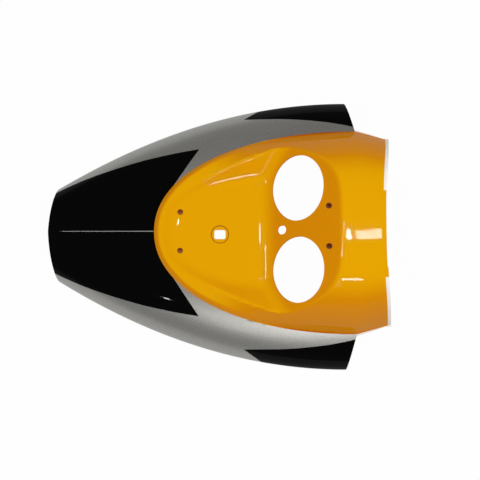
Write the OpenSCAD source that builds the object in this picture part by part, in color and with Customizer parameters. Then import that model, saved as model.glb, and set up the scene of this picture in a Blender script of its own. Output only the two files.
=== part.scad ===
// Twin-lamp front cowl: one moulded shell that lies on its rim, open side down.
// Lengths run back from the nose. X points from the nose to the hood, Y across, Z up.

/* [Body outline] */
// Width over the two rear wings
shell_w = 400; // [370:1:430]
// Distance from the nose to the widest place
widest_l = 434; // [420:1:444]
// Distance from the nose to the rear corners of the wings
wing_l = 434; // [415:1:444]
// Width across the two corners of the nose
nose_w = 140; // [120:1:160]
// Height of the open arch at the nose
nose_h = 60; // [52:1:66]
// Lead of the nose crown over its corners
nose_rake = 8.5; // [0:0.5:12]
// Curve of the sides between the nose and the wings
side_power = 2; // [1.9:0.05:2.4]
// Height that the body crown reaches at the back
rear_h = 66; // [60:1:72]
// Drop beside the ridge of the nose, as a share of the arch
ridge_drop = 0.12; // [0:0.01:0.2]
// Thickness of the moulded wall
wall = 3; // [2:0.1:3.6]

/* [Raised centre] */
// Distance from the nose to the round tip of the raised centre
centre_tip_l = 153.5; // [140:0.5:165]
// Length of the raised outline from its tip to its widest place
centre_l = 292.5; // [280:0.5:300]
// Width of the raised centre
centre_w = 296; // [284:1:308]
// Squareness of the raised outline
centre_power = 2.1; // [1.9:0.05:2.4]
// Width of the sloping step round the raised centre
step_w = 12; // [9:0.5:15]
// Height of the step at the tip
step_tip_h = 10; // [7:0.5:12]
// Height of the step at the back
step_back_h = 18; // [14:0.5:22]
// Blend over the upper edge of the step
step_blend = 7; // [4:0.5:9]

/* [Recess] */
// Height of the flat recess floor
floor_h = 60; // [57:0.5:63]
// Width of the recess floor at the foot of the lamp wall
floor_w = 165; // [155:1:175]
// Length of the curve that bounds the recess floor
floor_l = 186; // [176:1:196]
// Slope of the side walls of the recess
side_angle = 31; // [27:1:36]
// Blend along the foot of the walls and the lip above them
wall_blend = 6; // [4:0.5:8]

/* [Lamp wall] */
// Distance from the nose to the foot of the lamp wall
lamp_foot_l = 315.5; // [308:0.5:322]
// Slope of the lamp wall
lamp_angle = 41.5; // [40:0.5:43]
// Diameter of each lamp hole
lamp_d = 93; // [84:0.5:95]
// Distance between the lamp centres
lamp_pitch = 116; // [113:0.2:119]
// Distance of the lamp centres up the lamp wall
lamp_up = 57.4; // [55:0.2:59]

/* [Hood] */
// Height of the hood crown
hood_h = 150; // [144:1:156]
// Distance from the nose to the hood end at its crown
hood_l = 472; // [464:1:478]
// Distance from the nose to the hood end at its sides
hood_side_l = 489; // [482:1:496]
// Width of the hood end
hood_end_w = 272; // [262:1:282]
// Squareness of the hood in section
crown_power = 4.1; // [3.6:0.1:4.6]
// Width of the lowered overlap flange at the sides
flange_w = 6; // [5:0.5:9]
// Width of the lowered overlap flange in the middle
flange_mid_w = 5; // [3:0.5:9]
// Half of the span over which the flange is narrow
flange_mid_span = 56; // [40:1:70]

/* [Holes] */
// Diameter of the four blind screw holes
screw_d = 8.4; // [5:0.1:9]
// Distance between the two holes of a pair
screw_pitch = 56; // [46:0.2:60]
// Distance from the nose to the front pair
screw_front_l = 191; // [186:0.5:200]
// Distance of the rear pair up the lamp wall
screw_rear_up = 113; // [109:0.2:115]
// Outer diameter of the screw bosses
boss_d = 14; // [12.5:0.1:16]
// Length of the screw bosses under the wall
boss_l = 13; // [9:0.5:18]
// Distance from the nose to the locating slot
slot_at_l = 248.5; // [237:0.5:260]
// Sideways offset of the locating slot
slot_offset = -4.5; // [-12:0.5:12]
// Diameter of the round seat about the slot
seat_d = 25.6; // [23:0.2:30]
// Depth of the round seat
seat_deep = 1.2; // [0.6:0.1:1.6]
// Length of the locating slot
slot_l = 16.2; // [12:0.2:18]
// Width of the locating slot
slot_w = 13.2; // [8:0.2:15]
// Corner radius of the locating slot
slot_r = 3; // [1:0.5:3.5]
// Distance of the cable hole up the lamp wall
cable_up = 28.4; // [25:0.2:31]
// Length of the cable hole up the wall
cable_l = 16.5; // [14:0.5:20]
// Width of the cable hole
cable_w = 12.5; // [9:0.5:13.5]

/* [Hidden] */
$fn = 72;

// Places along the length that follow from the sizes above
overall_l = hood_side_l + flange_w;
centre_x = centre_tip_l + centre_l;
half_centre = centre_w / 2;
brow_x = lamp_foot_l + (hood_h - floor_h) / tan(lamp_angle);
rise_start = centre_tip_l + step_w * 1.3;
rise_low_h = floor_h + step_tip_h / 2;
floor_end_x = lamp_foot_l + floor_l * 0.19;

// Shape powers: body arch, nose end and recess floor
arch_power = 3;
nose_power = 1.5;
floor_power = 2.2;

// Rows of the surface: angles round the raised outline, in degrees
foot_angle = angle_at(lamp_foot_l - wall_blend);
brow_angle = angle_at(mix(lamp_foot_l, brow_x, 0.34));
rows_front = 19;
nose_rows = 6;
nose_corner_angle = foot_angle * nose_rows / rows_front;
rows_lamp = 16;
rows_hood = 7;
rows_end = 4;

// Columns of the surface, on each side of the middle line
cols_body = 8;
cols_edge = 6;
cols_floor = 8;
cols_centre = cols_edge + cols_floor;
cols_half = cols_body + cols_centre;
cols = 2 * cols_half;
last_full = rows_front + rows_lamp + rows_hood;
last_row = last_full + rows_end + 2;

// Blends the lower of two heights, and the higher of two
function low(a, b, k) = min(a, b) - pow(max(k - abs(a - b), 0), 2) / (4 * k);
function high(a, b, k) = -low(-a, -b, k);
function clamp(v) = min(max(v, 0), 1);
function ease(v) = (1 - cos(180 * clamp(v))) / 2;
function mix(a, b, f) = a + (b - a) * f;

// Body: half width and crown height at x, then the arch between them
function half_w(x) = shell_w / 2 - (shell_w - nose_w) / 2
    * pow(max(0, widest_l - x) / (widest_l - nose_rake), side_power);
function body_crown(x) = mix(nose_h, rear_h, x / centre_x);
function ridge(x) = ridge_drop * (1 - clamp(x / centre_tip_l));
function arch(t, x) = sqrt(max(0, 1 - pow(t, arch_power))) - ridge(x) * t * (1 - t);
function body_z(x, y) = body_crown(x) * max(0, arch(min(1, abs(y) / half_w(x)), x));

// Raised centre: its outline point at an angle, the angle at an x, and the half width behind
function outline_x(angle) = centre_x - centre_l * pow(max(0, cos(angle)), 2 / centre_power);
function outline_y(angle) = half_centre * pow(max(0, sin(angle)), 2 / centre_power);
function angle_at(x) = acos(pow((centre_x - x) / centre_l, centre_power / 2));
function side_y(x) = x < centre_x ? half_centre
    : mix(half_centre, hood_end_w / 2, (x - centre_x) / (hood_side_l - centre_x));

// Level of a point in the raised outline: 0 on the middle line, 1 on the outline
function ahead(x) = max(0, centre_x - x) / centre_l;
function level(x, y) = pow(pow(ahead(x), centre_power) + pow(abs(y) / side_y(x), centre_power),
    1 / centre_power);
function steepness(x, y) = norm([pow(ahead(x), centre_power - 1) / centre_l,
    pow(abs(y) / side_y(x), centre_power - 1) / side_y(x)]);
function inside(x, y) = (1 - level(x, y)) / max(steepness(x, y), 0.001);

// Heights of the raised centre: step, crowned top, recess walls, lamp wall
function step_h(x) = mix(step_tip_h, step_back_h, (x - centre_tip_l) / centre_l);
function foot_z(x, y) = body_z(min(x, centre_x), y);
function step_z(x, y) = foot_z(x, y) + inside(x, y) * step_h(x) / step_w;
function edge_z(x) = body_z(min(x, centre_x), side_y(x) * pow(max(0, 1 - pow(ahead(x),
    centre_power)), 1 / centre_power)) + step_h(min(x, centre_x));
function crown_z(x) = mix(rise_low_h, hood_h, ease((x - rise_start) / (brow_x - rise_start)));
function top_z(x, y) = crown_z(x) - (crown_z(x) - edge_z(x))
    * pow(level(x, y) / (1 - step_w / half_centre), crown_power);
function floor_y(x) = floor_w / 2
    * pow(max(0, 1 - pow(max(0, floor_end_x - x) / floor_l, floor_power)), 1 / floor_power);
function side_z(x, y) = floor_h + (abs(y) - floor_y(x)) * tan(side_angle);
function lamp_z(x) = floor_h + (x - lamp_foot_l) * tan(lamp_angle);
function recess_z(x, y) = high(high(floor_h, side_z(x, y), wall_blend), lamp_z(x), wall_blend);
function centre_z(x, y) = low(low(top_z(x, y), recess_z(x, y), wall_blend), step_z(x, y), step_blend);

// Each row is a line across the cowl: [angle, x on the outline, x on the middle line, bow, drop]
function zone(angle_a, angle_b, mid_a, mid_b, bow_a, bow_b, n) = [for (i = [0 : n - 1])
    let (f = i / n, angle = mix(angle_a, angle_b, f))
    [angle, outline_x(angle), mix(mid_a, mid_b, f), mix(bow_a, bow_b, f), 0]];
function end_row(f, drop, out) = [90, mix(centre_x, hood_side_l, f) + out,
    mix(centre_x, hood_l, f) + out, 3, drop];
rows_of_shell = concat(
    zone(0, foot_angle, centre_tip_l + centre_l * 0.14, lamp_foot_l - wall_blend, 1, 1, rows_front),
    zone(foot_angle, brow_angle, lamp_foot_l - wall_blend, brow_x + wall_blend, 1, 2.3, rows_lamp),
    zone(brow_angle, 90, brow_x + wall_blend, centre_x, 2.3, 2.8, rows_hood),
    [for (i = [0 : rows_end]) end_row(i / rows_end, 0, 0)],
    [end_row(1, wall, wall / 4), end_row(1, wall, flange_w)]);

// Outer edge of a row: along the nose end first, then along the side of the body
function nose_edge(angle) = let (y = half_w(nose_rake) * sin(90 * angle / nose_corner_angle),
    x = nose_rake * pow(y / half_w(nose_rake), nose_power)) [x, min(y, half_w(x))];
function body_edge(angle) = let (x = mix(nose_rake, wing_l, (angle - nose_corner_angle)
    / (90 - nose_corner_angle))) [x, half_w(x)];
function on_nose(angle) = angle < nose_corner_angle - 0.01;
function outer_edge(angle) = on_nose(angle) ? nose_edge(angle) : body_edge(angle);

// Distance inward at each column beside the edge of the raised centre
function edge_steps(x) = [0.5 * step_w, step_w, step_w + 0.9 * wall_blend, step_w + 1.8 * wall_blend,
    (step_w + 1.8 * wall_blend + floor_start(x)) / 2, floor_start(x)];
function floor_start(x) = step_w + 2.5 * wall_blend
    + 2 * step_w * clamp((x - centre_tip_l - 3 * step_w) / (centre_l * 0.43));
function inward_rate(row, y) = let (n = [pow(ahead(row[1]), centre_power - 1) / centre_l,
    pow(y / side_y(row[1]), centre_power - 1) / side_y(row[1])])
    (n[0] * row[3] * (row[2] - row[1]) + n[1] * y) / norm(n);
function share(row, y, k) = k <= cols_edge
    ? edge_steps(row[1])[k - 1] / inward_rate(row, y)
    : mix(edge_steps(row[1])[cols_edge - 1] / inward_rate(row, y), 1, (k - cols_edge) / cols_floor);

// Narrow flange in the middle of the hood end
function flange_out(row, y) = row[1] < overall_l - wall / 4 ? 0
    : (flange_mid_w - flange_w) * (1 - ease((y - flange_mid_span) / wall));

function row_y(row) = row[1] > centre_x ? side_y(min(row[1], hood_side_l)) : outline_y(row[0]);
function body_point(row, k) = let (a = [row[1], row_y(row)], b = outer_edge(row[0]),
    even = 1 - k / cols_body, f = mix(even, sin(90 * even), clamp(row[0] / nose_corner_angle)),
    p = a + (b - a) * f)
    [p[0], p[1], k == 0 && !on_nose(row[0]) ? 0 : body_z(p[0], p[1])];
function centre_point(row, k) = let (y0 = row_y(row), f = share(row, y0, k), y = y0 * (1 - f),
    x = row[2] + (row[1] - row[2]) * pow(1 - f, row[3]), xs = min(x, hood_side_l))
    [x + flange_out(row, y), y, centre_z(xs, y) - row[4]];
function foot_point(row) = let (y = row_y(row))
    [row[1], y, foot_z(row[1], y) - row[4]];
function point(row, k) = k < cols_body ? body_point(row, k)
    : k == cols_body ? foot_point(row) : centre_point(row, k - cols_body);
function flip(p) = [p[0], -p[1], p[2]];
function first_col(i) = i > last_full ? cols_body : 0;

// Points of the outer face, then those of the inner face one wall below
half_rows = [for (row = rows_of_shell) [for (k = [0 : cols_half]) point(row, k)]];
function outer(i, j) = i < 0 ? flip(outer(-i, j))
    : j > cols_half ? flip(half_rows[i][cols - j]) : half_rows[i][j];
function row_end(j) = j < cols_body || j > cols - cols_body ? last_full : last_row;
function along(i, j) = folded(i, j) ? outer(1, j - 1) - flip(outer(1, j - 1))
    : outer(min(i + 1, row_end(j)), j) - outer(i - 1, j);
function across(i, j) = folded(i, j) ? outer(1, j) - outer(0, j - 1)
    : outer(i, min(j + 1, cols - first_col(i))) - outer(i, max(j - 1, first_col(i)));
function folded(i, j) = i == 0 && j == cols_half;
function facing(i, j) = let (n = cross(across(i, j), along(i, j)), rim = j == 0 || j == cols)
    !rim ? n : i < nose_rows ? [0, n[1], n[2]] : i == nose_rows ? [0, n[1], 0] : [n[0], n[1], 0];
function inner(i, j) = let (n = facing(i, j)) outer(i, j) - n * wall / norm(n);

function last_col(i) = i == 0 ? cols_half : cols - first_col(i);
cells = [for (i = [0 : last_row]) for (j = [first_col(i) : last_col(i)]) [i, j]];
full_row = cols + 1;
hood_row = cols - 2 * cols_body + 1;
function number(i, j) = i == 0 ? min(j, cols - j)
    : i <= last_full ? cols_half + 1 + (i - 1) * full_row + j
    : cols_half + 1 + last_full * full_row + (i - last_full - 1) * hood_row + j - cols_body;
points = concat([for (c = cells) outer(c[0], c[1])], [for (c = cells) inner(c[0], c[1])]);

// Faces: the outer and inner skins, then the edge that joins them
function quad(a, b, c, d, turned = false) = turned ? [[a, d, b], [d, c, b]] : [[a, c, b], [a, d, c]];
under = len(cells);
skins = [for (i = [0 : last_row - 1]) for (j = [first_col(i + 1) : cols - first_col(i + 1) - 1])
    let (a = number(i, j), b = number(i, j + 1), c = number(i + 1, j + 1), d = number(i + 1, j))
    each concat(quad(a, b, c, d, j < cols_half),
        quad(d + under, c + under, b + under, a + under, j >= cols_half))];
side_rim = [for (i = [0 : last_full]) number(i, 0)];
wing_rim = [for (j = [1 : cols_body]) number(last_full, j)];
hood_rim = [for (i = [last_full + 1 : last_row]) number(i, cols_body)];
end_rim = [for (j = [cols_body + 1 : cols - cols_body]) number(last_row, j)];
hood_rim_b = [for (i = [last_row - 1 : -1 : last_full]) number(i, cols - cols_body)];
wing_rim_b = [for (j = [cols - cols_body + 1 : cols]) number(last_full, j)];
side_rim_b = [for (i = [last_full - 1 : -1 : 1]) number(i, cols)];
rim = concat(side_rim, wing_rim, hood_rim, end_rim, hood_rim_b, wing_rim_b, side_rim_b);
rim_faces = [for (k = [0 : len(rim) - 1]) let (a = rim[k], b = rim[(k + 1) % len(rim)])
    each quad(a, b, b + under, a + under)];

// Bare shell, without its holes
module moulded_skin() {
    polyhedron(points, concat(skins, rim_faces));
}

// Places a child on the lamp wall, at a distance up it and across it, with Z out of the wall
module on_lamp_wall(up, side) {
    translate([lamp_foot_l, side, floor_h])
    rotate([0, -lamp_angle, 0])
    translate([up, 0, 0])
    children();
}

// Stadium-shaped cutter, long in X
module long_hole(length, width, deep) {
    translate([-(length - width) / 2, -width / 2, -deep])
    cube([length - width, width, 2 * deep]);
    for (side = [-1, 1]) {
        translate([side * (length - width) / 2, 0, -deep])
        cylinder(d = width, h = 2 * deep);
    }
}

// Rectangular cutter with round corners
module slot_cutter(deep) {
    for (grow = [[slot_r, 0], [0, slot_r]]) {
        size = [slot_l - 2 * grow[0], slot_w - 2 * grow[1], 2 * deep];
        translate(-size / 2)
        cube(size);
    }
    for (a = [-1, 1], b = [-1, 1]) {
        translate([a * (slot_l / 2 - slot_r), b * (slot_w / 2 - slot_r), -deep])
        cylinder(r = slot_r, h = 2 * deep);
    }
}

// Screw bosses: round posts that stand straight down from the wall
rear_screw_x = lamp_foot_l + screw_rear_up * cos(lamp_angle);
rear_screw_z = floor_h + screw_rear_up * sin(lamp_angle);
module screw_bosses() {
    for (side = [-1, 1]) {
        translate([screw_front_l, side * screw_pitch / 2, floor_h - wall - boss_l])
        cylinder(d = boss_d, h = boss_l + wall / 2);
        difference() {
            translate([rear_screw_x, side * screw_pitch / 2, rear_screw_z - wall - boss_l - boss_d / 2])
            cylinder(d = boss_d, h = boss_l + wall + boss_d);
            on_lamp_wall(screw_rear_up, side * screw_pitch / 2)
            translate([-2 * boss_d, -boss_d, -wall / 2])
            cube([4 * boss_d, 2 * boss_d, 3 * boss_d]);
        }
    }
}

module screw_holes() {
    for (side = [-1, 1]) {
        translate([screw_front_l, side * screw_pitch / 2, floor_h - boss_l])
        cylinder(d = screw_d, h = boss_l + wall);
        translate([rear_screw_x, side * screw_pitch / 2, rear_screw_z - boss_l - boss_d / 2])
        cylinder(d = screw_d, h = boss_l + 2 * boss_d);
    }
}

module cowl_shell() {
    color("orange")
    translate([-overall_l / 2, 0, 0])
    difference() {
        union() {
            moulded_skin();
            screw_bosses();
        }
        screw_holes();
        for (side = [-1, 1]) {
            on_lamp_wall(lamp_up, side * lamp_pitch / 2)
            translate([0, 0, -2 * wall])
            cylinder(d = lamp_d, h = 6 * wall);
        }
        on_lamp_wall(cable_up, 0)
        long_hole(cable_l, cable_w, 4 * wall);
        translate([slot_at_l, slot_offset, floor_h]) {
            slot_cutter(3 * wall);
            translate([0, 0, -seat_deep])
            cylinder(d = seat_d, h = 3 * wall);
        }
    }
}

cowl_shell();
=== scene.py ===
# %% [markdown]
# # A painted motorcycle cowl
# The object is one thin moulded shell: a front cowl for twin round headlamps. It lies on its rim with
# the open side down, and the camera looks almost straight down on it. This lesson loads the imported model
# as a fixed frame, rebuilds the shell as one smooth mesh, masks its paint, cuts its holes and lights it.

# %% Frame
import math
from collections import namedtuple

import bmesh
import bpy
from mathutils import Matrix, Vector


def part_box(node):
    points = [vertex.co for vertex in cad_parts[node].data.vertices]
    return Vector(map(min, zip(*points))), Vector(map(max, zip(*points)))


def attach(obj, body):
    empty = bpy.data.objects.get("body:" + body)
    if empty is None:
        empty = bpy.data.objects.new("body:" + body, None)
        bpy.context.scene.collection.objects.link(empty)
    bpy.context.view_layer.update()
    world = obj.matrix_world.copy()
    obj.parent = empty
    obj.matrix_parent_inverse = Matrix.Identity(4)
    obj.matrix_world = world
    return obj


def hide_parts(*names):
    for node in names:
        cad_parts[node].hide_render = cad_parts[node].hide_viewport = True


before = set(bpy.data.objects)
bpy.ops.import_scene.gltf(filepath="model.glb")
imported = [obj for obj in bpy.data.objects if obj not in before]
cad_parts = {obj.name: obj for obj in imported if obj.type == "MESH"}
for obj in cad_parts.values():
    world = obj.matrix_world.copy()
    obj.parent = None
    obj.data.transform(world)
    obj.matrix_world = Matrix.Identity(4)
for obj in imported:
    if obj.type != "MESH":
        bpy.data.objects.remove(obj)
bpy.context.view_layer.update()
cad_low, cad_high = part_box("cowl_shell")
print("frame box in metres:", tuple(cad_low), tuple(cad_high))

# %% [markdown]
# ## Sizes
# All sizes are in millimetres, and places along the cowl are measured back from the nose. The length, the
# width and the height come from the frame itself, so the mesh always fills the same box. In the names, `_l`
# is a length or a place along the cowl, `_w` a width, `_h` a height and `_d` a diameter. A higher power
# makes a squarer curve, and a blend is the width of a fillet.

# %% Sizes
MM = 0.001
overall_l = (cad_high.x - cad_low.x) / MM
shell_w = (cad_high.y - cad_low.y) / MM
hood_h = (cad_high.z - cad_low.z) / MM
middle = overall_l / 2

# The body
widest_l, wing_l, side_power = 434, 434, 2
nose_w, nose_h, nose_rake, nose_power = 140, 60, 8.5, 1.5
rear_h, ridge_drop, arch_power, wall = 66, 0.12, 3, 3
# The raised centre and the step round it
centre_tip_l, centre_l, centre_w, centre_power = 153.5, 292.5, 296, 2.1
step_w, step_tip_h, step_back_h, step_blend = 8, 7, 18, 4
# The recess: its floor, its fillets and the slopes of its side walls in degrees
floor_h, floor_w, floor_l, floor_power = 60, 156, 158, 2.5
wall_blend, lamp_blend, brow_blend = 6, 12, 3
side_angle, tip_side_angle = 28, 23
# The lamp wall, and where the lamp holes sit up it
lamp_foot_l, lamp_angle, lamp_d, lamp_pitch, lamp_up = 315.5, 41.5, 93, 116, 57.4
# The hood and its lowered lip
hood_l, hood_side_l, hood_end_w, crown_power = 472, 489, 272, 4.1
flange_w, flange_mid_w, flange_mid_span = 6, 5, 56

centre_x = centre_tip_l + centre_l
half_centre = centre_w / 2
lamp_slope = math.tan(math.radians(lamp_angle))
brow_x = lamp_foot_l + (hood_h - floor_h) / lamp_slope
# The ridge line of the nose is at its full height up to here, and fades out over that length.
ridge_full_l, ridge_fade_l = 0.8 * centre_tip_l, 0.5 * centre_tip_l
# The side walls turn from the tip's slope to the sides' slope over this length.
side_turn_l = 0.4 * centre_l
# The crown starts to rise here.
rise_start = centre_tip_l + 2 * step_w
# The floor's widest place lies behind the foot of the lamp wall, by a share of the floor's length.
floor_end_x = lamp_foot_l + floor_l * 0.16

# %% [markdown]
# ## The form as a formula
# The shell is three heights blended together: an arched body, a crowned island that steps up from it, and
# a recess that is scooped out of the island between a flat floor, two side walls and the sloping lamp
# wall. `low` and `high` take the lower and the higher of two heights with a round blend between them,
# which gives the fillets of a moulded part.

# %% Blends
def mix(a, b, share):
    return a + (b - a) * share


def clamp(value):
    return min(max(value, 0), 1)


def ease(value):
    return (1 - math.cos(math.pi * clamp(value))) / 2


def low(a, b, blend):
    return min(a, b) - max(blend - abs(a - b), 0) ** 2 / (4 * blend)


def high(a, b, blend):
    return -low(-a, -b, blend)


# %% Body arch
def half_w(x):
    taper = (max(0, widest_l - x) / (widest_l - nose_rake)) ** side_power
    return shell_w / 2 - (shell_w - nose_w) / 2 * taper


def body_z(x, y):
    t = min(1, abs(y) / half_w(x))
    ridge = ridge_drop * (1 - clamp((x - ridge_full_l) / ridge_fade_l))
    arch = math.sqrt(max(0, 1 - t ** arch_power)) - ridge * t * (1 - t)
    return mix(nose_h, rear_h, x / centre_x) * max(0, arch)


# %% Outline of the raised centre
def outline(angle):
    """The outline's x and y at an angle: 0 at its tip, 90 where its sides are widest."""
    cosine, sine = math.cos(math.radians(angle)), math.sin(math.radians(angle))
    return (centre_x - centre_l * max(0, cosine) ** (2 / centre_power),
            half_centre * max(0, sine) ** (2 / centre_power))


def angle_at(x):
    """The outline's angle at a place along the cowl."""
    return math.degrees(math.acos(((centre_x - x) / centre_l) ** (centre_power / 2)))


def side_y(x):
    """Half the width of the centre, which narrows along the hood."""
    if x < centre_x:
        return half_centre
    return mix(half_centre, hood_end_w / 2, (x - centre_x) / (hood_side_l - centre_x))


def ahead(x):
    """How far a place lies ahead of the centre's widest place: 0 there, 1 at the tip."""
    return max(0, centre_x - x) / centre_l


def slopes(x, y):
    """The direction square to the outline, and how fast `level` changes along it."""
    return (ahead(x) ** (centre_power - 1) / centre_l,
            (abs(y) / side_y(x)) ** (centre_power - 1) / side_y(x))


def level(x, y):
    """1 on the outline of the centre, less inside it."""
    return (ahead(x) ** centre_power + (abs(y) / side_y(x)) ** centre_power) ** (1 / centre_power)


def inside(x, y):
    """How far inside the outline a point lies, in millimetres."""
    return (1 - level(x, y)) / max(math.hypot(*slopes(x, y)), 0.001)


# %% Heights of the raised centre
def step_h(x):
    return mix(step_tip_h, step_back_h, (x - centre_tip_l) / centre_l)


def foot_z(x, y):
    return body_z(min(x, centre_x), y)


def edge_z(x):
    """The height of the step's upper edge."""
    y = side_y(x) * max(0, 1 - ahead(x) ** centre_power) ** (1 / centre_power)
    return foot_z(x, y) + step_h(min(x, centre_x))


def top_z(x, y):
    crown = mix(floor_h + step_tip_h / 2, hood_h, ease((x - rise_start) / (brow_x - rise_start)))
    return crown - (crown - edge_z(x)) * (level(x, y) / (1 - step_w / half_centre)) ** crown_power


def side_wall_z(x, y):
    """The wall rises outwards from the floor's edge, which is a part of a superellipse."""
    run = max(0, floor_end_x - x)
    reach = ((run / floor_l) ** floor_power
             + (abs(y) / (floor_w / 2)) ** floor_power) ** (1 / floor_power)
    beyond_floor = math.hypot(run, y) * (1 - 1 / max(reach, 0.01))
    angle = mix(tip_side_angle, side_angle, clamp((x - centre_tip_l) / side_turn_l))
    return floor_h + beyond_floor * math.tan(math.radians(angle))


def recess_z(x, y):
    lamp = floor_h + (x - lamp_foot_l) * lamp_slope
    return high(high(floor_h, side_wall_z(x, y), wall_blend), lamp, lamp_blend)


def centre_z(x, y):
    step = foot_z(x, y) + inside(x, y) * step_h(x) / step_w
    return low(low(top_z(x, y), recess_z(x, y), brow_blend), step, step_blend)


print("lamp wall meets the hood", round(brow_x), "mm behind the nose")

# %% [markdown]
# ## Rows and columns
# A square grid would cut the round island edge into stairs. So the grid is bent: each row is a line
# across the cowl that leaves the rim, meets the island's outline square on, and runs to the middle. At the
# nose the rows fan out, and the first row folds onto itself along the middle line. The rows crowd together
# between the foot of the lamp wall and the brow, where the surface turns most.
#
# A row is its angle on the island's outline, its x there, its x on the middle line, its bow (1 is straight)
# and how far it is lowered.

# %% Rows
Row = namedtuple("Row", "angle edge_x mid_x bow drop")
ROWS_FRONT, ROWS_LAMP, ROWS_HOOD, ROWS_END, NOSE_ROWS = 76, 48, 24, 12, 24
BOW_STRAIGHT, BOW_BROW, BOW_HOOD, BOW_END = 1, 2.3, 2.8, 3
# The first row meets the middle line this share of the centre's length behind the tip, and the rows of the
# lamp wall end this share of the way from its foot to the brow.
FIRST_ROW, LAMP_ROWS_END = 0.14, 0.34
# The lip's rows: how far each is past the end of the hood, and how far it is lowered
LIP = [(0.5, 0.02), (1.2, 0.15), (2.1, 0.45), (wall, wall / 4), (4.0, wall / 4), (5.0, wall / 4),
       (flange_w, wall / 4)]


def zone(angles, mids, bows, count):
    """Evenly spread rows between two angles, two places on the middle line and two bows."""
    return [Row(angle, outline(angle)[0], mix(*mids, i / count), mix(*bows, i / count), 0)
            for i in range(count) for angle in [mix(*angles, i / count)]]


def end_row(share, out, drop):
    """A row of the hood's straight sides, a share of the way back, or past their end by out."""
    return Row(90, mix(centre_x, hood_side_l, share) + out,
               mix(centre_x, hood_l, share) + out, BOW_END, drop)


first_l, foot_l, brow_l = centre_tip_l + centre_l * FIRST_ROW, lamp_foot_l - wall_blend, brow_x + wall_blend
foot_angle, brow_angle = angle_at(foot_l), angle_at(mix(lamp_foot_l, brow_x, LAMP_ROWS_END))
nose_corner_angle = foot_angle * NOSE_ROWS / ROWS_FRONT
rows = zone((0, foot_angle), (first_l, foot_l), (BOW_STRAIGHT, BOW_STRAIGHT), ROWS_FRONT)
rows += zone((foot_angle, brow_angle), (foot_l, brow_l), (BOW_STRAIGHT, BOW_BROW), ROWS_LAMP)
rows += zone((brow_angle, 90), (brow_l, centre_x), (BOW_BROW, BOW_HOOD), ROWS_HOOD)
last_full = len(rows)
rows += [end_row(i / ROWS_END, 0, 0) for i in range(ROWS_END + 1)]
rows += [end_row(1, out, drop) for out, drop in LIP]
print(len(rows), "rows, the first", last_full + 1, "with wings")

# %% Columns
COLS_BODY, COLS_STEP, COLS_FLOOR, KNOT_GAPS = 34, 6, 26, 6
COLS_EDGE = KNOT_GAPS * COLS_STEP
COLS_HALF = COLS_BODY + COLS_EDGE + COLS_FLOOR
# Towards the hood the columns at the rim and at the foot of the side wall move inwards, by these shares of
# the way back from the tip, up to a longest way.
RIM_SHIFT, FOOT_SHIFT, shift_l = 0.05, 0.2, 0.55 * centre_l


def on_nose(angle):
    return angle < nose_corner_angle - 0.01


def outer_edge(angle):
    """Where a row starts: on the rim at the side, or on the front edge of the nose."""
    if not on_nose(angle):
        x = mix(nose_rake, wing_l, (angle - nose_corner_angle) / (90 - nose_corner_angle))
        return x, half_w(x)
    corner_y = half_w(nose_rake)
    y = corner_y * math.sin(math.pi / 2 * angle / nose_corner_angle)
    x = nose_rake * (y / corner_y) ** nose_power
    return x, min(y, half_w(x))


def row_y(row):
    """The row's y on the island's outline."""
    return side_y(min(row.edge_x, hood_side_l)) if row.edge_x > centre_x else outline(row.angle)[1]


def body_point(row, k):
    """Corner k of a row between the outer edge and the island."""
    (ax, ay), (bx, by) = (row.edge_x, row_y(row)), outer_edge(row.angle)
    even = 1 - k / COLS_BODY
    share = mix(even, math.sin(math.pi / 2 * even), clamp(row.angle / nose_corner_angle))
    x, y = mix(ax, bx, share), mix(ay, by, share)
    return x, y, 0 if k == 0 and not on_nose(row.angle) else body_z(x, y)


def edge_distance(row, k):
    """How far column k lies in from the outline: the columns follow the step and the side wall."""
    back = min(row.edge_x - centre_tip_l, shift_l)
    # The side wall's upper and lower fillets are placed in widths of the lower one.
    rim = step_w + 0.5 * wall_blend + RIM_SHIFT * back
    foot = step_w + 1.4 * wall_blend + FOOT_SHIFT * back
    knots = [0, step_w / 2, step_w, rim, (rim + foot) / 2, foot, foot + 1.7 * wall_blend]
    i = min(int(k // COLS_STEP), KNOT_GAPS - 1)
    return mix(knots[i], knots[i + 1], k / COLS_STEP - i)


def centre_point(row, k):
    """Corner k of a row between the island's outline and the middle line."""
    y0 = row_y(row)
    nx, ny = slopes(row.edge_x, y0)
    rate = (nx * row.bow * (row.mid_x - row.edge_x) + ny * y0) / math.hypot(nx, ny)
    share = edge_distance(row, min(k, COLS_EDGE)) / rate
    if k > COLS_EDGE:
        share = mix(share, 1, (k - COLS_EDGE) / COLS_FLOOR)
    y = y0 * (1 - share)
    x = row.mid_x + (row.edge_x - row.mid_x) * (1 - share) ** row.bow
    z = centre_z(min(x, hood_side_l), y) - row.drop
    narrow = (flange_mid_w - flange_w) * (1 - ease((y - flange_mid_span) / wall))
    return x + narrow * clamp((row.edge_x - hood_side_l - wall) / (flange_w - wall)), y, z


def shell_point(row, k):
    if k < COLS_BODY:
        return body_point(row, k)
    if k == COLS_BODY:
        return row.edge_x, row_y(row), foot_z(row.edge_x, row_y(row)) - row.drop
    return centre_point(row, k - COLS_BODY)


print(2 * COLS_HALF + 1, "columns")

# %% [markdown]
# ## The skin
# `create_grid` gives a flat sheet with the right number of squares. Each of its corners is then moved to
# its place on the cowl. What the hood rows have beyond the hood's own sides is deleted, and the fold at the
# nose is closed by merging its doubles.

# %% Skin
def in_frame(x, y, z):
    return Vector(((x - middle) * MM, y * MM, z * MM))


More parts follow.
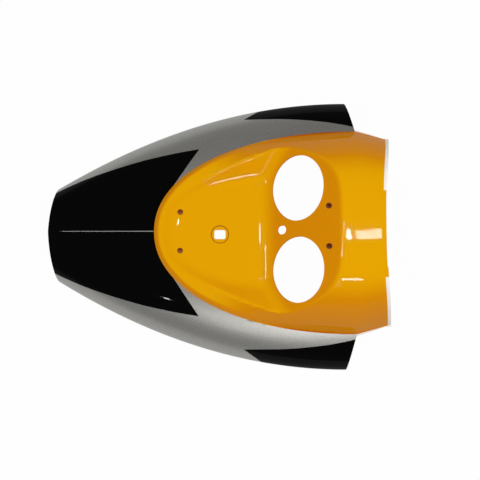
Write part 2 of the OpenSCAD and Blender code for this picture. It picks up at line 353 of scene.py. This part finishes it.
def make_skin():
    bm = bmesh.new()
    across = 2 * COLS_HALF
    bmesh.ops.create_grid(bm, x_segments=len(rows) - 1, y_segments=across, size=0.5)
    spare = []
    for corner in bm.verts:
        i = round((corner.co.x + 0.5) * (len(rows) - 1))
        j = round((corner.co.y + 0.5) * across)
        k, side = (j, -1) if j <= COLS_HALF else (across - j, 1)
        if i > last_full and k < COLS_BODY:
            spare.append(corner)
            continue
        x, y, z = shell_point(rows[i], k)
        corner.co = in_frame(x, side * y, z)
    bmesh.ops.delete(bm, geom=spare, context="VERTS")
    bmesh.ops.remove_doubles(bm, verts=bm.verts, dist=1e-6)
    bmesh.ops.recalc_face_normals(bm, faces=bm.faces)
    crown = max(bm.faces, key=lambda f: f.calc_center_median().z)
    if crown.normal.z < 0:
        bmesh.ops.reverse_faces(bm, faces=bm.faces)
    return bm


skin = make_skin()
print("skin:", len(skin.verts), "corners", len(skin.faces), "faces")

# %% [markdown]
# ## Masking the paint
# The real cowl was sprayed silver, black and yellow with masking tape between. The yellow stops at the
# foot of the step, where a row of mesh edges already runs. The black stops along free lines, so the mesh is
# cut there: every edge that a line crosses is split at the crossing, and the new corners are joined. Each
# side of a cut then gets its own paint, and the line stays as sharp as tape leaves it.

# %% Paint lines
YELLOW, BLACK, SILVER, BARE = range(4)
ON_LINE_MM = 0.12  # a corner nearer than this to a line counts as on it
# The lip starts this far past the end of the hood, and is yellow between two places across.
LIP_START, LIP_YELLOW_FROM, LIP_YELLOW_TO = 1, -70, 47


def plan(point):
    """A point's place in the sizes above: back from the nose, and across."""
    return point.x / MM + middle, point.y / MM


def along_points(value, points):
    """Straight-line reading of y at a value of x from a few points."""
    for (xa, ya), (xb, yb) in zip(points, points[1:]):
        if value <= xb:
            break
    return mix(ya, yb, (value - xa) / (xb - xa))


# The black of the nose reaches out to NOSE_LINE, and its back edge runs in from NOSE_TIP to NOSE_BACK.
# The black of the wings starts at the line from WING_TIP to WING_OUT and lies outside WING_LINE.
NOSE_LINE = [(8, 60), (19, 65.4), (43, 75.9), (66, 84.6), (90, 92.6), (114, 99.9), (137, 106.4),
             (161, 111.8), (184, 116.6), (207, 120.6), (218, 122.3)]
NOSE_TIP = Vector((218, 122.3))
NOSE_BACK = Vector((178, 62))
WING_TIP = Vector((283, 170))
WING_OUT = Vector((311, 190))
WING_LINE = [(283, 170), (336, 169.6), (359, 168.4), (382, 166.3), (406, 163.3), (429, 159), (455, 153)]


def side_of_line(x, y, a, b):
    """Distance of (x, y) to the left of the line from a to b, in plan."""
    run = b - a
    return (run.x * (y - a.y) - run.y * (x - a.x)) / run.length


# Each of the next four is the distance to one line, above zero on the black side.
def nose_side(point):
    x, y = plan(point)
    return along_points(x, NOSE_LINE) - abs(y)


def nose_back(point):
    x, y = plan(point)
    return max(side_of_line(x, abs(y), NOSE_BACK, NOSE_TIP), NOSE_BACK.y - abs(y))


def wing_side(point):
    x, y = plan(point)
    return abs(y) - along_points(x, WING_LINE)


def wing_front(point):
    x, y = plan(point)
    return -side_of_line(x, abs(y), WING_TIP, WING_OUT)


def cut_along(bm, field):
    """Cuts the mesh where the field, a distance in millimetres, is zero."""
    value = {v: field(v.co) for v in bm.verts}
    on_line = [v for v in bm.verts if abs(value[v]) < ON_LINE_MM]
    for edge in list(bm.edges):
        a, b = edge.verts
        if value[a] * value[b] < 0 and min(abs(value[a]), abs(value[b])) >= ON_LINE_MM:
            on_line.append(bmesh.utils.edge_split(edge, a, value[a] / (value[a] - value[b]))[1])
    bmesh.ops.connect_verts(bm, verts=on_line)
    return len(on_line)


for line in (nose_side, nose_back, wing_side, wing_front):
    print(line.__name__, "cut at", cut_along(skin, line), "corners")


# %% Which paint each face gets
def end_line(y):
    """Where the hood ends and its lip starts."""
    return mix(hood_l, hood_side_l, (y / (hood_end_w / 2)) ** 3)


def paint_of(face):
    c = face.calc_center_median()
    x, y = plan(c)
    if x > end_line(abs(y)) + LIP_START:
        return YELLOW if LIP_YELLOW_FROM < y < LIP_YELLOW_TO else BARE
    if level(x, y) < 1:
        return YELLOW
    if nose_side(c) > 0 and nose_back(c) > 0:
        return BLACK
    if wing_side(c) > 0 and wing_front(c) > 0:
        return BLACK
    return SILVER


for face in skin.faces:
    face.material_index = paint_of(face)
print("faces per paint:", [sum(f.material_index == i for f in skin.faces) for i in range(4)])

# %% [markdown]
# ## Paints
# The shell is moulded ABS, which shows bare on the inside and on the outer thirds of the lip. Over it lie
# three automotive paints: a solid yellow and a solid black, and a silver base coat full of fine aluminium
# flake. Clear lacquer gives all three a sharp second reflection, with the faint ripple called orange peel.

# %% Material helpers
def srgb(code):
    """A hex colour as the linear values that Blender stores."""
    parts = [int(code[i:i + 2], 16) / 255 for i in (0, 2, 4)]
    return [c / 12.92 if c <= 0.04045 else ((c + 0.055) / 1.055) ** 2.4 for c in parts] + [1]


def add(material, kind, links=(), **values):
    """Adds a node, sets its sockets and properties, and links other nodes' outputs into it."""
    node = material.node_tree.nodes.new(kind)
    for name, value in values.items():
        socket = node.inputs.get(name.replace("_", " ").title())
        if socket is None:
            setattr(node, name, value)
        else:
            socket.default_value = value
    for source, output, target in links:
        material.node_tree.links.new(source.outputs[output], node.inputs[target])
    return node


def new_finish(name, color, **values):
    """A material and its Principled shader, with a colour and other sockets set."""
    material = bpy.data.materials.new(name)
    material.use_nodes = True
    shader = material.node_tree.nodes["Principled BSDF"]
    shader.inputs["Base Color"].default_value = srgb(color)
    for socket, value in values.items():
        shader.inputs[socket.replace("_", " ")].default_value = value
    return material, shader


def peel(material, shader, socket, size_mm, height_mm, strength):
    """Orange peel: ripples size_mm across in the surface of a lacquer."""
    place = add(material, "ShaderNodeTexCoord")
    noise = add(material, "ShaderNodeTexNoise", [(place, "Object", "Vector")],
                scale=1 / (size_mm * MM), detail=2.0)
    bump = add(material, "ShaderNodeBump", [(noise, "Fac", "Height")],
               strength=strength, distance=height_mm * MM)
    material.node_tree.links.new(bump.outputs["Normal"], shader.inputs[socket])
    return place


def speckle(material, place, size_mm, low_color, high_color, edges=(0.35, 0.65)):
    """Links a base colour that varies between two tones in grains of about size_mm."""
    noise = add(material, "ShaderNodeTexNoise", [(place, "Object", "Vector")],
                scale=1 / (size_mm * MM), detail=3.0)
    tones = add(material, "ShaderNodeValToRGB", [(noise, "Fac", "Fac")])
    for stop, position, color in zip(tones.color_ramp.elements, edges, (low_color, high_color)):
        stop.position, stop.color = position, srgb(color)
    shader = material.node_tree.nodes["Principled BSDF"]
    material.node_tree.links.new(tones.outputs["Color"], shader.inputs["Base Color"])


# %% Yellow enamel under lacquer
yellow, yellow_shader = new_finish("solid_yellow_enamel", "EBAA00", Roughness=0.35, Coat_Weight=0.3,
                                   Coat_Roughness=0.03, Coat_IOR=1.45, Specular_IOR_Level=0.0)
place = peel(yellow, yellow_shader, "Coat Normal", 9, 0.05, 0.15)
facing = add(yellow, "ShaderNodeSeparateXYZ", [(place, "Normal", "Vector")])
tones = add(yellow, "ShaderNodeValToRGB", [(facing, "Z", "Fac")])
# The yellow is painted deeper on slopes than on level faces: painted shade for the slopes that turn away
# from the light above. The stops are heights of the surface normal.
SLOPE_SHADE_TONES = [(0.5, "E68F00"), (0.75, "E29000"), (0.96, "E8A500")]
tones.color_ramp.elements.new(SLOPE_SHADE_TONES[1][0])
for stop, (height, color) in zip(tones.color_ramp.elements, SLOPE_SHADE_TONES):
    stop.position, stop.color = height, srgb(color)
yellow.node_tree.links.new(tones.outputs["Color"], yellow_shader.inputs["Base Color"])

# %% Black enamel under lacquer
black, black_shader = new_finish("solid_black_enamel", "060606", Roughness=0.4, Coat_Weight=0.2,
                                 Coat_Roughness=0.03, Coat_IOR=1.45, Specular_IOR_Level=0.0)
place = peel(black, black_shader, "Coat Normal", 9, 0.05, 0.3)
# A little dust lies on the black, in specks of about 2 mm so that they show at this distance.
speckle(black, place, 2, "050505", "262624", (0.7, 0.85))

# %% Silver flake base coat under lacquer
silver, silver_shader = new_finish("silver_flake_base_coat", "A4A39E", Metallic=0.7, Roughness=0.36,
                                   Coat_Weight=0.3, Coat_Roughness=0.05, Coat_IOR=1.5)
place = peel(silver, silver_shader, "Coat Normal", 9, 0.05, 0.12)
# Real flakes are 0.03 mm across. They are drawn 1.5 mm wide, the finest that shows at this distance.
speckle(silver, place, 1.5, "A09F9A", "B4B3AE")

# %% Bare moulded plastic
# A fine mould grain of 0.8 mm, drawn coarser than the real one so that it shows, and a slight unevenness of
# colour in patches of 12 mm
bare, bare_shader = new_finish("moulded_abs_plastic", "F2E8DE", Roughness=0.45)
place = peel(bare, bare_shader, "Normal", 0.8, 0.03, 0.3)
speckle(bare, place, 12, "F8F0E8", "FFF8F0")

# %% Overspray and painted shade in the blind screw holes
# Only a brownish haze of paint gets into the holes, and their brown is also painted shade for the dark
# inside of the holes.
overspray_and_shade = new_finish("overspray_and_painted_shade_in_screw_holes", "DC9A5C", Roughness=0.6)[0]

# %% Painted shade on the wall of the slot's seat
# The sloping wall of the slot's seat is painted a darker orange: painted shade for the dark ring round the
# seat.
seat_shade = new_finish("painted_shade_on_seat_wall", "A85F04", Roughness=0.5)[0]
print("finishes:", [m.name for m in bpy.data.materials])

# %% [markdown]
# ## From skin to shell
# A Solidify modifier gives the skin its wall, inwards, as the moulding tool does. The inside and the cut
# edges are bare plastic, so the modifier moves their faces to the last material.

# %% Shell
def finished_mesh(obj):
    """The object's mesh with its modifiers applied."""
    graph = bpy.context.evaluated_depsgraph_get()
    return bpy.data.meshes.new_from_object(obj.evaluated_get(graph))


def new_object(name, bm, *materials):
    mesh = bpy.data.meshes.new(name)
    bm.to_mesh(mesh)
    bm.free()
    for material in materials:
        mesh.materials.append(material)
    obj = bpy.data.objects.new(name, mesh)
    bpy.context.scene.collection.objects.link(obj)
    return obj


cowl = new_object("cowl", skin, yellow, black, silver, bare)
solid = cowl.modifiers.new("wall", "SOLIDIFY")
solid.thickness = wall * MM
solid.offset = -1
solid.use_even_offset = True
solid.thickness_clamp = 0
solid.use_rim = True
solid.material_offset = BARE
solid.material_offset_rim = BARE
print("wall added:", solid.name)

# %% [markdown]
# ## Holes and screw bosses
# The lamp holes, the cable hole, the locating slot and the four blind screw holes are cut with Boolean
# modifiers, one cutter for each. The screw bosses are short posts on the inside. Each is joined first and
# drilled after, so that its hole is blind and goes through the skin only.

# %% Cutters
ROUND, CORNER_SEGMENTS, SHARP_ANGLE = 96, 12, 32
ALONG = 0.9  # two directions with a dot product above this count as the same
screw_d, screw_pitch, screw_front_l, screw_rear_up = 8.4, 56, 191, 113
boss_d, boss_l = 14, 13
slot_at_l, slot_offset, seat_d, seat_deep, slot_l, slot_w, slot_r = 248.5, -4.5, 26.4, 1.3, 16.2, 13.2, 3
cable_up, cable_l, cable_w = 28.4, 16.5, 12.5


def on_lamp_wall(up, side):
    """The place on the lamp wall that is so far up it and across it, with Z out of the wall."""
    x = lamp_foot_l + up * math.cos(math.radians(lamp_angle))
    z = floor_h + up * math.sin(math.radians(lamp_angle))
    return Matrix.Translation(in_frame(x, side, z)) @ Matrix.Rotation(-math.radians(lamp_angle), 4, "Y")


def upright(x, y, z):
    return Matrix.Translation(in_frame(x, y, z))


def post(place, diameter, bottom, top, name, flare=0):
    """A round post along a place's own Z, from bottom to top, wider at the top by the flare all round."""
    bm = bmesh.new()
    shift = Matrix.Translation((0, 0, (bottom + top) / 2 * MM))
    bmesh.ops.create_cone(bm, cap_ends=True, segments=ROUND, radius1=diameter / 2 * MM,
                          radius2=(diameter / 2 + flare) * MM, depth=(top - bottom) * MM,
                          matrix=place @ shift)
    return new_object(name, bm)


def rounded_block(place, length, width, corner, reach, name):
    """A block with round corners that reaches equally far up and down from its place."""
    bm = bmesh.new()
    size = Matrix.Diagonal((length * MM, width * MM, 2 * reach * MM, 1))
    bmesh.ops.create_cube(bm, size=1, matrix=place @ size)
    axis = place.to_3x3() @ Vector((0, 0, 1))
    upright_edges = [e for e in bm.edges
                     if abs((e.verts[0].co - e.verts[1].co).normalized().dot(axis)) > ALONG]
    bmesh.ops.bevel(bm, geom=upright_edges, offset=corner * MM, segments=CORNER_SEGMENTS, profile=0.5,
                    affect="EDGES", material=-1)
    return new_object(name, bm)


# %% Bosses and cuts
def boolean(tool, operation):
    step = cowl.modifiers.new(tool.name, "BOOLEAN")
    step.object = tool
    step.operation = operation
    step.solver = "EXACT"
    step.material_mode = "TRANSFER"
    return tool


tools = []
rear_z = floor_h + screw_rear_up * math.sin(math.radians(lamp_angle))
rear_x = lamp_foot_l + screw_rear_up * math.cos(math.radians(lamp_angle))
for side in (-1, 1):
    y = side * screw_pitch / 2
    front, rear = upright(screw_front_l, y, floor_h), upright(rear_x, y, rear_z)
    boss = post(front, boss_d, -wall - boss_l, -wall / 2, f"front_boss{side}")
    boss.data.materials.append(bare)
    tools.append(boolean(boss, "UNION"))
    boss = post(rear, boss_d, -wall - boss_l - boss_d / 2, boss_d, f"rear_boss{side}")
    boss.data.materials.append(bare)
    trim = bmesh.new()
    trim.from_mesh(boss.data)
    wall_place = on_lamp_wall(screw_rear_up, y)
    bmesh.ops.bisect_plane(trim, geom=trim.verts[:] + trim.edges[:] + trim.faces[:],
                           plane_co=wall_place @ Vector((0, 0, -wall / 2 * MM)),
                           plane_no=wall_place.to_3x3() @ Vector((0, 0, 1)), clear_outer=True)
    bmesh.ops.holes_fill(trim, edges=[e for e in trim.edges if e.is_boundary])
    trim.to_mesh(boss.data)
    trim.free()
    tools.append(boolean(boss, "UNION"))
    for drill in (post(front, screw_d, -boss_l, wall, f"front_screw{side}"),
                  post(rear, screw_d, -boss_l - boss_d / 2, 2 * boss_d, f"rear_screw{side}")):
        # The drilled walls take the brown overspray and its painted shade.
        drill.data.materials.append(overspray_and_shade)
        tools.append(boolean(drill, "DIFFERENCE"))
    lamp = on_lamp_wall(lamp_up, side * lamp_pitch / 2)
    tools.append(boolean(post(lamp, lamp_d, -2 * wall, 4 * wall, f"lamp{side}"), "DIFFERENCE"))
tools.append(boolean(rounded_block(on_lamp_wall(cable_up, 0), cable_l, cable_w, cable_w / 2 - 0.05,
                                   4 * wall, "cable"), "DIFFERENCE"))
slot_place = upright(slot_at_l, slot_offset, floor_h)
tools.append(boolean(rounded_block(slot_place, slot_l, slot_w, slot_r, 3 * wall, "slot"), "DIFFERENCE"))
seat = post(slot_place, seat_d - 2 * seat_deep, -seat_deep, seat_deep, "seat", 2 * seat_deep)
seat.data.materials.append(yellow)
seat.data.materials.append(seat_shade)
# The seat's sloping wall takes the painted shade, its flat bottom the yellow.
for polygon in seat.data.polygons:
    polygon.material_index = int(abs(polygon.normal.z) < ALONG)
tools.append(boolean(seat, "DIFFERENCE"))
print(len(tools), "bosses and cutters")

# %% Shell with its holes
cut_mesh = finished_mesh(cowl)
cowl.modifiers.clear()
cowl.data = cut_mesh
for tool in tools:
    bpy.data.objects.remove(tool)
for polygon in cut_mesh.polygons:
    polygon.use_smooth = True
cut_mesh.set_sharp_from_angle(angle=math.radians(SHARP_ANGLE))
print("shell:", len(cut_mesh.polygons), "faces,",
      sum(len(p.vertices) - 2 for p in cut_mesh.polygons), "triangles")

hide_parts("cowl_shell")
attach(cowl, "root")

# %% [markdown]
# ## Floor and background
# The cowl lies on a plain floor of paper that glows white to the camera, so that the ground of the picture
# is white and only a trace of the cowl's shadow is left. Reflections see the floor and the world dim, which
# keeps the paints deep. All other light sees real paper and a plain sky.

# %% Floor
FLOOR_REACH, FLOOR_IN_REFLECTIONS, FLOOR_GLOW = 6, 0.18, 0.975
bm = bmesh.new()
bmesh.ops.create_grid(bm, x_segments=1, y_segments=1, size=FLOOR_REACH)
floor = new_object("floor", bm)
floor_paper = bpy.data.materials.new("white_paper_floor")
floor_paper.use_nodes = True
nodes, links = floor_paper.node_tree.nodes, floor_paper.node_tree.links
paper = nodes["Principled BSDF"]
paper.inputs["Base Color"].default_value = srgb("D0D0D0")
paper.inputs["Roughness"].default_value = 0.9
path = add(floor_paper, "ShaderNodeLightPath")
mirrored = add(floor_paper, "ShaderNodeMath", [(path, "Is Glossy Ray", 0)], operation="MULTIPLY")
mirrored.inputs[1].default_value = FLOOR_IN_REFLECTIONS
seen = add(floor_paper, "ShaderNodeMath", [(path, "Is Camera Ray", 0), (mirrored, 0, 1)],
           operation="MAXIMUM")
glow = add(floor_paper, "ShaderNodeEmission", strength=1.0)
blend = add(floor_paper, "ShaderNodeMath", [(seen, 0, 0)], operation="MULTIPLY")
blend.inputs[1].default_value = FLOOR_GLOW
both = add(floor_paper, "ShaderNodeMixShader", [(blend, 0, 0), (paper, 0, 1), (glow, 0, 2)])
links.new(both.outputs[0], nodes["Material Output"].inputs["Surface"])
floor.data.materials.append(floor_paper)
floor_paper.cycles.emission_sampling = "NONE"

# %% World
# In reflections the world is brighter at the horizon than overhead: its strength falls between two heights
# of the ray's direction.
SKY_STRENGTH, HORIZON_STRENGTH, OVERHEAD_STRENGTH = 0.35, 0.2, 0.12
HORIZON_END, OVERHEAD_START = 0.05, 0.5
world = bpy.data.worlds.new("studio")
bpy.context.scene.world = world
world.use_nodes = True
world.cycles.sampling_method = "NONE"
nodes, links = world.node_tree.nodes, world.node_tree.links
sky = nodes["Background"]
sky.inputs["Color"].default_value = (1, 1, 1, 1)
sky.inputs["Strength"].default_value = SKY_STRENGTH
path = add(world, "ShaderNodeLightPath")
direction = add(world, "ShaderNodeTexCoord")
parts = add(world, "ShaderNodeSeparateXYZ", [(direction, "Generated", "Vector")])
fall = add(world, "ShaderNodeMapRange", [(parts, "Z", "Value")], from_min=HORIZON_END,
           from_max=OVERHEAD_START, to_min=HORIZON_STRENGTH, to_max=OVERHEAD_STRENGTH)
mirrored = add(world, "ShaderNodeBackground", [(fall, 0, "Strength")], color=(1, 1, 1, 1))
white = add(world, "ShaderNodeBackground", color=(1, 1, 1, 1), strength=1.0)
by_gloss = add(world, "ShaderNodeMixShader", [(path, "Is Glossy Ray", 0), (sky, 0, 1), (mirrored, 0, 2)])
mixed = add(world, "ShaderNodeMixShader", [(path, "Is Camera Ray", 0), (by_gloss, 0, 1), (white, 0, 2)])
links.new(mixed.outputs[0], nodes["World Output"].inputs["Surface"])

# %% [markdown]
# ## Lights
# The photograph's light is soft and comes from above, yet the lacquer mirrors no bright ceiling: it shows
# thin lines along the fillets, from a window on the side at the bottom of the picture, and a few small
# panes. So the large soft light is hidden from reflections, and small bright panes make the lines and
# glints. Each pane stands where the surface mirrors it to the camera.

# %% Light helper
def panel(name, place, target, along, length, width, watts, mirrored=True):
    """A flat light that faces a target, its length along a direction. Sizes are in metres."""
    light = bpy.data.lights.new(name, "AREA")
    light.shape = "RECTANGLE"
    light.size, light.size_y, light.energy = length, width, watts
    back = (Vector(place) - Vector(target)).normalized()
    side = Vector(along).cross(back).normalized()
    obj = bpy.data.objects.new(name, light)
    axes = Matrix((-side.cross(back), -side, back)).transposed()
    obj.matrix_world = Matrix.Translation(place) @ axes.to_4x4()
    obj.visible_glossy = mirrored
    bpy.context.scene.collection.objects.link(obj)
    return obj


# %% Lights
COWL, HOOD_TOP, NOSE_RIDGE, NOSE_SIDE = (0, 0, 0.08), (0.25, 0, 0.15), (-0.17, 0, 0.06), (-0.1, -0.1, 0.05)
ALONG_X, ALONG_Y, WINDOW_RUN, PANE_RUN = (1, 0, 0), (0, 1, 0), (0.82, 0.57, 0), (1, 0.1, 0)

# soft_ceiling is the soft light itself, and pale_wall lifts the side at the bottom of the picture.
# long_window makes the lines along the recess and the short streak on the hood, far_window the glint on the
# black, the hood panes the two-part patch on the hood, and ridge_strip the line along the nose.
# Each has a name, a place, a target, the direction of its length, a length, a width and a power in watts.
panel("soft_ceiling", (0.85, 0.3, 2.1), COWL, ALONG_X, 1.5, 1.6, 16, mirrored=False)
panel("pale_wall", (-0.12, -1.4, 1.6), COWL, ALONG_X, 0.55, 0.7, 3)
panel("long_window", (0.29, -1.092, 1.62), COWL, WINDOW_RUN, 0.24, 0.1, 4)
panel("far_window", (-0.57, -1.04, 1.63), NOSE_SIDE, ALONG_X, 0.03, 0.035, 0.4)
panel("hood_pane_front", (0.29, 0.12, 1.6), HOOD_TOP, PANE_RUN, 0.08, 0.045, 1)
panel("hood_pane_back", (0.385, 0.125, 1.6), HOOD_TOP, PANE_RUN, 0.08, 0.04, 0.45)
panel("nose_pane", (-1.5, 0.1, 1.8), COWL, ALONG_Y, 0.2, 0.15, 6)
panel("ridge_strip", (-0.46, 0.2, 2.0), NOSE_RIDGE, ALONG_X, 0.3, 0.06, 2.5)

# %% [markdown]
# ## Camera
# The camera stands 1.6 m above the floor and looks almost straight down, leaning a few degrees, as the
# slight upward shift of the higher parts in the photograph shows.

# %% Camera
CAMERA_DISTANCE, CAMERA_LEAN = 1.6, 5.5
VIEW_WIDTH, SENSOR_WIDTH = 0.72, 36
aim = Vector((0.0300, -0.0068, 0))
camera = bpy.data.cameras.new("camera")
camera.sensor_width = SENSOR_WIDTH
camera.lens = SENSOR_WIDTH * CAMERA_DISTANCE / VIEW_WIDTH
camera_object = bpy.data.objects.new("camera", camera)
lean = Matrix.Rotation(math.radians(CAMERA_LEAN), 4, "X")
camera_object.matrix_world = Matrix.Translation(aim) @ lean @ Matrix.Translation((0, 0, CAMERA_DISTANCE))
bpy.context.scene.collection.objects.link(camera_object)
bpy.context.scene.camera = camera_object
bpy.context.scene.view_settings.view_transform = "Standard"
